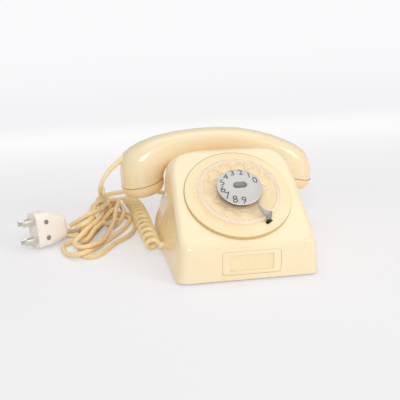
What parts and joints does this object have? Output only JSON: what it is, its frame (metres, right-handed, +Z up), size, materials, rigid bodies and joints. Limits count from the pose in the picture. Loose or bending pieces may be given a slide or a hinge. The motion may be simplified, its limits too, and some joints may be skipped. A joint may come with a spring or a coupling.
{
  "type": "rotary telephone",
  "caption": "Desk telephone with a sloping rotary dial, a crosswise handset on its cradle, a curly handset cord and a line cord with a flat-bladed plug.",
  "frame": {"origin": "on the table under the middle of the housing and handset, at the level of the rubber feet", "axes": "+X to the right as the user sees it, +Y from the dial to the back, +Z up"},
  "size_m": [0.3257, 0.2775, 0.1165],
  "materials": {
    "cream_shell": "polished moulded shell, slightly yellowed",
    "cream_disc": "moulded disc, a little yellower than the shell",
    "clear_wheel": "clear acrylic, polished",
    "steel": "plated steel, satin",
    "plate_metal": "fine brushed anodised aluminium",
    "brass": "turned brass",
    "rubber": "black rubber, matt",
    "dark_plastic": "black moulded plastic",
    "card": "cream card",
    "copper": "enamelled copper winding",
    "board": "phenolic board",
    "cord": "tan cord sheath, satin",
    "ivory_plastic": "ivory moulded plastic, satin",
    "gong_metal": "plated bell metal"
  },
  "bodies": {
    "base": {"housing": "cream_shell", "card_frame": "cream_shell", "dial_bezel": "cream_disc", "card_window": "clear_wheel", "base_screws": "steel", "dial_screws": "steel", "bearing_plate": "steel", "finger_stop": "steel", "hook_spring": "steel", "hook_frame": "steel", "ringer_frame": "steel", "gong_screws": "steel", "dial_case": "steel", "plug_blades": "steel", "plug_screws": "steel", "pulse_contacts": "brass", "hook_contacts": "brass", "feet": "rubber", "handset_cord_grommet": "rubber", "line_cord_gland": "rubber", "base_plate": "dark_plastic", "terminal_block": "dark_plastic", "induction_coil": "dark_plastic", "number_card": "card", "capacitor": "card", "ringer_coils": "copper", "circuit_board": "board", "handset_lead": "cord", "curly_cord": "cord", "line_cord": "cord", "line_cord_hank": "cord", "plug_lead": "cord", "plug_collar": "ivory_plastic", "plug_body": "ivory_plastic", "left_gong": "gong_metal", "right_gong": "gong_metal"},
    "dial": {"finger_wheel": "clear_wheel", "number_plate": "plate_metal", "plate_boss": "steel", "dial_shaft": "steel", "main_gear": "brass", "return_spring": "steel"},
    "spindle": {"pinion_spindle": "steel", "pulse_cam": "ivory_plastic", "governor": "brass"},
    "hook": {"left_plunger": "ivory_plastic", "right_plunger": "ivory_plastic", "hook_bar": "steel"},
    "handset": {"handset_body": "cream_shell", "mouthpiece_cap": "cream_shell", "earpiece_cap": "cream_shell", "microphone": "steel", "receiver": "steel", "cord_boot": "cord"},
    "clapper": {"clapper": "steel"}
  },
  "joints": [
    {"name": "dial_turn", "type": "hinge", "parent": "base", "child": "dial", "pos_m": [0, -0.05309, 0.07764], "axis": [0, -0.5299, 0.848], "range_deg": [-331, 0], "stiffness_Nm_per_rad": 0.012, "springref_deg": 34.38},
    {"name": "spindle_turn", "type": "hinge", "parent": "base", "child": "spindle", "pos_m": [-0.02206, -0.03739, 0.08745], "axis": [0, -0.5299, 0.848], "range_deg": [0, 1000]},
    {"name": "handset_lift", "type": "slide", "parent": "base", "child": "handset", "axis": [0, 0, 1], "range_m": [0, 0.06]},
    {"name": "hook_travel", "type": "slide", "parent": "base", "child": "hook", "axis": [0, 0, 1], "range_m": [0, 0.0051]},
    {"name": "clapper_swing", "type": "hinge", "parent": "base", "child": "clapper", "pos_m": [0, 0.03, 0.014], "axis": [0, 0, 1], "range_deg": [-7, 7]}
  ],
  "couplings": [
    {"joint": "spindle_turn", "follows": "dial_turn", "ratio": -3},
    {"joint": "hook_travel", "follows": "handset_lift", "ratio": 0.083333}
  ]
}
